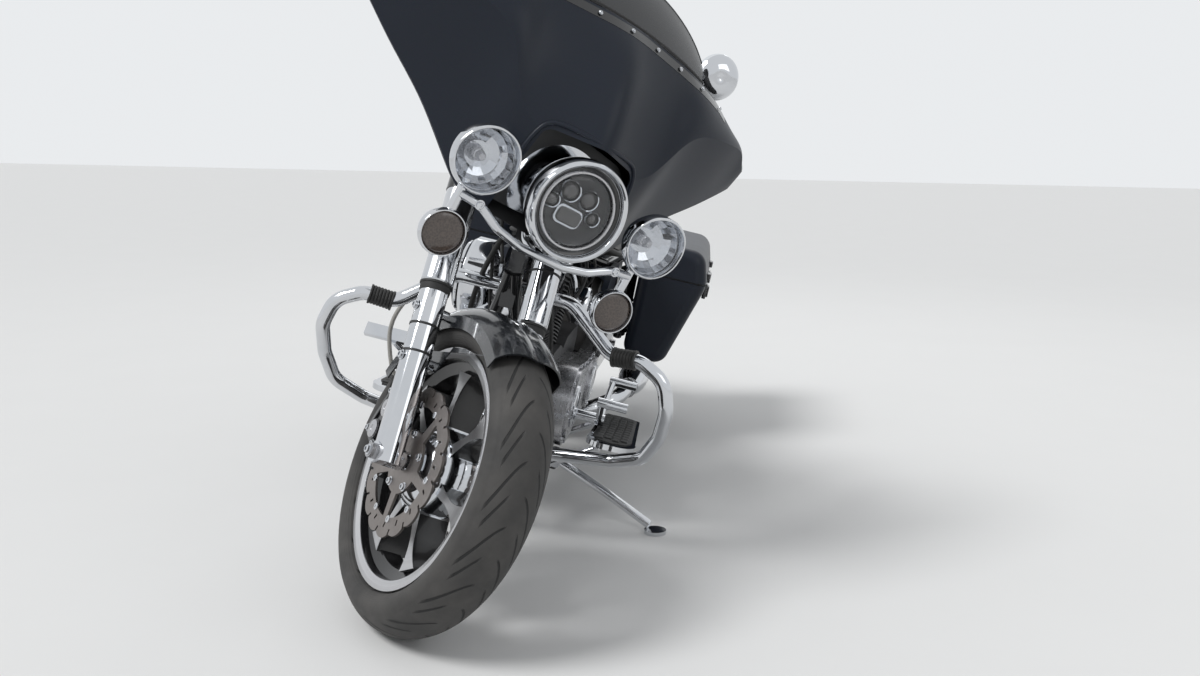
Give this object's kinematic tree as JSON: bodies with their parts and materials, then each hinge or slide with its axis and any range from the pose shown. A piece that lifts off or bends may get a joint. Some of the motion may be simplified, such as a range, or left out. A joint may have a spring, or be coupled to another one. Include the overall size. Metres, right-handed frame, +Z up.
{
  "type": "touring cruiser motorcycle",
  "caption": "Touring cruiser motorcycle with a fork-mounted fairing, a V-twin engine, hard saddlebags and an engine guard, parked on its side stand.",
  "frame": {"origin": "middle of the overall footprint, on the floor", "axes": "+X forward, +Y to the rider's left, +Z up, with the motorcycle leaned to its left on its side stand and the steering on its left stop"},
  "size_m": [2.3403, 0.94, 1.4754],
  "materials": {
    "tyre": "matt rubber",
    "black_casting": "gloss black with machined edges",
    "steel": "machined",
    "chrome": "polished",
    "polished_alloy": "polished",
    "engine_alloy": "dark cast",
    "frame_black": "gloss black",
    "body_paint": "satin blue-black",
    "body_plastic": "satin blue-black",
    "black_plastic": "matt",
    "lens": "clear",
    "tinted_screen": "smoked",
    "tail_lens": "red",
    "rubber": "moulded",
    "leather": "grained",
    "plate": "blank"
  },
  "bodies": {
    "frame": {"frame_tubes": "frame_black", "crankcase": "engine_alloy", "rocker_boxes": "polished_alloy", "cylinders": "engine_alloy", "pushrod_tubes": "chrome", "primary_cover": "polished_alloy", "air_cleaner": "chrome", "mufflers": "chrome", "exhaust_pipes": "chrome", "fuel_tank": "body_paint", "tank_console": "chrome", "seat": "leather", "rear_fender": "body_paint", "saddlebags": "body_plastic", "side_covers": "body_plastic", "engine_guard": "chrome", "guard_sleeves": "leather", "floorboards": "rubber", "foot_controls": "chrome", "swingarm": "frame_black", "rear_axle": "steel", "shock_absorbers": "frame_black", "drive_belt": "rubber", "tail_lamps": "tail_lens", "number_plate": "plate", "clutch_cable": "rubber"},
    "front_end": {"front_axle": "steel", "fork_sliders": "chrome", "fork_tubes": "chrome", "fork_yokes": "frame_black", "front_calipers": "black_casting", "front_fender": "body_paint", "fairing_shell": "body_plastic", "fairing_inner": "black_plastic", "windshield": "tinted_screen", "headlamp": "chrome", "spot_lamps": "chrome", "front_signals": "chrome", "lamp_lenses": "lens", "lamp_bar": "chrome", "fairing_bracket": "frame_black", "handlebar": "chrome", "grips": "rubber", "hand_controls": "polished_alloy", "mirrors": "chrome"},
    "front_wheel": {"front_tyre": "tyre", "front_wheel_casting": "black_casting", "front_discs": "steel"},
    "rear_wheel": {"rear_tyre": "tyre", "rear_wheel_casting": "black_casting", "rear_disc": "steel", "rear_pulley": "steel"},
    "side_stand": {"side_stand": "chrome"},
    "left_lid": {"left_lid": "body_plastic"},
    "right_lid": {"right_lid": "body_plastic"}
  },
  "joints": [
    {"name": "steering", "type": "hinge", "parent": "frame", "child": "front_end", "pos_m": [0.72216, -0.01097, 0.66792], "axis": [-0.427, 0.1899, 0.8841], "range_deg": [-74.6, 0]},
    {"name": "front_wheel_spin", "type": "hinge", "parent": "front_end", "child": "front_wheel", "pos_m": [0.8911, -0.09845, 0.29699], "axis": [-0.5501, 0.7214, -0.4207], "continuous": true},
    {"name": "rear_wheel_spin", "type": "hinge", "parent": "frame", "child": "rear_wheel", "pos_m": [-0.7241, -0.09128, 0.31512], "axis": [-0.0027, 0.9774, -0.2113], "continuous": true},
    {"name": "side_stand_fold", "type": "hinge", "parent": "frame", "child": "side_stand", "pos_m": [0.23036, 0.02522, 0.15074], "axis": [0.0118, 0.4109, 0.9116], "range_deg": [0, 95]},
    {"name": "left_lid_hinge", "type": "hinge", "parent": "frame", "child": "left_lid", "pos_m": [-0.78364, 0.17651, 0.62225], "axis": [0.9999, 0, -0.0129], "range_deg": [0, 75]},
    {"name": "right_lid_hinge", "type": "hinge", "parent": "frame", "child": "right_lid", "pos_m": [-0.78257, -0.2086, 0.7055], "axis": [-0.9999, 0, 0.0129], "range_deg": [0, 75]}
  ]
}
